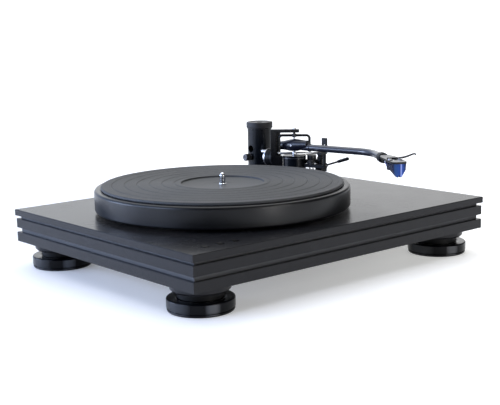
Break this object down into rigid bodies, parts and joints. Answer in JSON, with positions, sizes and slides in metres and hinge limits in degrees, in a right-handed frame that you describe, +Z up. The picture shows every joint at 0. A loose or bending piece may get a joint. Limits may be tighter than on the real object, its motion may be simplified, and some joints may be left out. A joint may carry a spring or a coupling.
{
  "type": "turntable record player",
  "caption": "Three-speed turntable with a stacked black plinth on round isolation feet, a thick platter with a grooved mat, and an S-shaped tonearm on a height tower.",
  "frame": {"origin": "on the floor under the middle of the plinth", "axes": "+X to the right along the plinth width, +Y to the back, +Z up"},
  "size_m": [0.462, 0.362, 0.1503],
  "materials": {
    "plinth_lacquer": "satin black lacquer",
    "slot_black": "matte black",
    "gloss_black": "polished black",
    "foot_rubber": "matte",
    "platter_black": "black anodised, satin",
    "mat_rubber": "matte",
    "chrome": "polished",
    "steel": "brushed",
    "brass": "turned",
    "copper": "enamelled wire",
    "magnet": "sintered",
    "circuit_board": "solder mask",
    "arm_black": "gloss black with a blue cast",
    "tower_black": "semi-gloss black",
    "dial_grey": "black anodised, fine turned",
    "arm_tube_black": "gloss black with a blue cast",
    "weight_black": "semi-gloss black",
    "shell_grey": "satin anodised",
    "black_plastic": "fine moulded",
    "blue_plastic": "glossy, slightly translucent blue"
  },
  "bodies": {
    "plinth": {"top_board": "plinth_lacquer", "upper_spacer": "slot_black", "middle_board": "plinth_lacquer", "lower_spacer": "slot_black", "bottom_board": "plinth_lacquer", "plinth_screws": "steel", "motor_base": "steel", "bearing_housing": "brass", "bearing_bushes": "brass", "thrust_ball": "steel", "stator_core": "steel", "stator_coils": "copper", "control_board": "circuit_board", "key_board": "circuit_board", "terminal_plate": "black_plastic", "rca_jacks": "brass", "ground_post": "brass", "dc_inlet": "black_plastic", "foot_sockets": "plinth_lacquer", "foot_necks": "foot_rubber", "arm_base_plate": "tower_black", "guide_post": "steel", "height_tower": "tower_black"},
    "platter": {"spindle": "chrome", "rotor_cup": "steel", "rotor_magnet": "magnet", "platter": "platter_black", "record_mat": "mat_rubber"},
    "key_33": {"speed_key_33": "gloss_black"},
    "key_45": {"speed_key_45": "gloss_black"},
    "key_78": {"speed_key_78": "gloss_black"},
    "foot_front_left": {"foot_ring_front_left": "gloss_black"},
    "foot_front_right": {"foot_ring_front_right": "gloss_black"},
    "foot_back_left": {"foot_ring_back_left": "gloss_black"},
    "foot_back_right": {"foot_ring_back_right": "gloss_black"},
    "dial": {"height_dial": "dial_grey", "lead_screw": "steel"},
    "lock": {"height_lock": "dial_grey"},
    "carriage": {"arm_carriage": "tower_black", "bearing_yoke": "arm_black", "bearing_cage": "arm_black", "cage_crossbar": "chrome", "lift_bracket": "arm_black", "lift_cylinder": "black_plastic", "rest_post": "black_plastic"},
    "rail": {"lift_rail": "chrome"},
    "lever": {"cue_lever": "weight_black"},
    "latch": {"rest_latch": "black_plastic"},
    "skate": {"antiskate_dial": "dial_grey"},
    "swivel": {"pivot_block": "steel"},
    "arm": {"arm_hub": "arm_tube_black", "arm_tube": "arm_tube_black", "rear_stub": "steel", "headshell": "shell_grey", "finger_lift": "steel", "cartridge_body": "black_plastic", "cartridge_screws": "steel", "stylus_holder": "blue_plastic"},
    "weight": {"counterweight": "weight_black"},
    "collar": {"shell_collar": "arm_tube_black"}
  },
  "joints": [
    {"name": "platter_spin", "type": "hinge", "parent": "plinth", "child": "platter", "pos_m": [-0.0463, -0.0016, 0.09], "axis": [0, 0, 1], "continuous": true},
    {"name": "height_dial_turn", "type": "hinge", "parent": "plinth", "child": "dial", "pos_m": [0.1556, 0.16, 0.14], "axis": [0, 0, 1], "range_deg": [-1080, 1080]},
    {"name": "carriage_lift", "type": "slide", "parent": "plinth", "child": "carriage", "axis": [0, 0, 1], "range_m": [-0.003, 0.003]},
    {"name": "height_lock_turn", "type": "hinge", "parent": "plinth", "child": "lock", "pos_m": [0.1556, 0.16, 0.1005], "axis": [-1, 0, 0], "range_deg": [0, 180]},
    {"name": "arm_swing", "type": "hinge", "parent": "carriage", "child": "swivel", "pos_m": [0.1516, 0.082, 0.1226], "axis": [0, 0, -1], "range_deg": [0, 42]},
    {"name": "cue_lever_lift", "type": "hinge", "parent": "carriage", "child": "lever", "pos_m": [0.17888, 0.057, 0.0922], "axis": [-1, 0, 0], "range_deg": [0, 32]},
    {"name": "lift_rail_rise", "type": "slide", "parent": "carriage", "child": "rail", "axis": [0, 0, 1], "range_m": [0, 0.0021]},
    {"name": "arm_dip", "type": "hinge", "parent": "swivel", "child": "arm", "pos_m": [0.1516, 0.082, 0.1226], "axis": [-0.9848, -0.1736, 0], "range_deg": [0, 2.55]},
    {"name": "counterweight_set", "type": "slide", "parent": "arm", "child": "weight", "axis": [-0.1736, 0.9848, 0], "range_m": [-0.0015, 0.0045]},
    {"name": "shell_collar_turn", "type": "hinge", "parent": "arm", "child": "collar", "pos_m": [0.1453, -0.08846, 0.1206], "axis": [-0.5373, -0.8434, 0], "range_deg": [0, 90]},
    {"name": "rest_latch_close", "type": "hinge", "parent": "carriage", "child": "latch", "pos_m": [0.16717, 0.03804, 0.1298], "axis": [0.1736, -0.9848, 0], "range_deg": [0, 90]},
    {"name": "antiskate_turn", "type": "hinge", "parent": "carriage", "child": "skate", "pos_m": [0.16096, 0.05882, 0.104], "axis": [0, 0, 1], "range_deg": [0, 270]},
    {"name": "key_33_press", "type": "slide", "parent": "plinth", "child": "key_33", "axis": [0, 0, -1], "range_m": [0, 0.001], "stiffness_N_per_m": 400, "springref_m": -0.001},
    {"name": "key_45_press", "type": "slide", "parent": "plinth", "child": "key_45", "axis": [0, 0, -1], "range_m": [0, 0.001], "stiffness_N_per_m": 400, "springref_m": -0.001},
    {"name": "key_78_press", "type": "slide", "parent": "plinth", "child": "key_78", "axis": [0, 0, -1], "range_m": [0, 0.001], "stiffness_N_per_m": 400, "springref_m": -0.001},
    {"name": "foot_front_left_turn", "type": "hinge", "parent": "plinth", "child": "foot_front_left", "pos_m": [-0.1908, -0.14, 0.007], "axis": [0, 0, 1], "range_deg": [-180, 180]},
    {"name": "foot_front_right_turn", "type": "hinge", "parent": "plinth", "child": "foot_front_right", "pos_m": [0.1908, -0.14, 0.007], "axis": [0, 0, 1], "range_deg": [-180, 180]},
    {"name": "foot_back_left_turn", "type": "hinge", "parent": "plinth", "child": "foot_back_left", "pos_m": [-0.1908, 0.14, 0.007], "axis": [0, 0, 1], "range_deg": [-180, 180]},
    {"name": "foot_back_right_turn", "type": "hinge", "parent": "plinth", "child": "foot_back_right", "pos_m": [0.1908, 0.14, 0.007], "axis": [0, 0, 1], "range_deg": [-180, 180]}
  ],
  "couplings": [
    {"joint": "height_dial_turn", "follows": "carriage_lift", "rad_per_m": 6280},
    {"joint": "lift_rail_rise", "follows": "cue_lever_lift", "m_per_rad": 0.00358},
    {"joint": "arm_dip", "follows": "cue_lever_lift", "ratio": 0.078125}
  ]
}
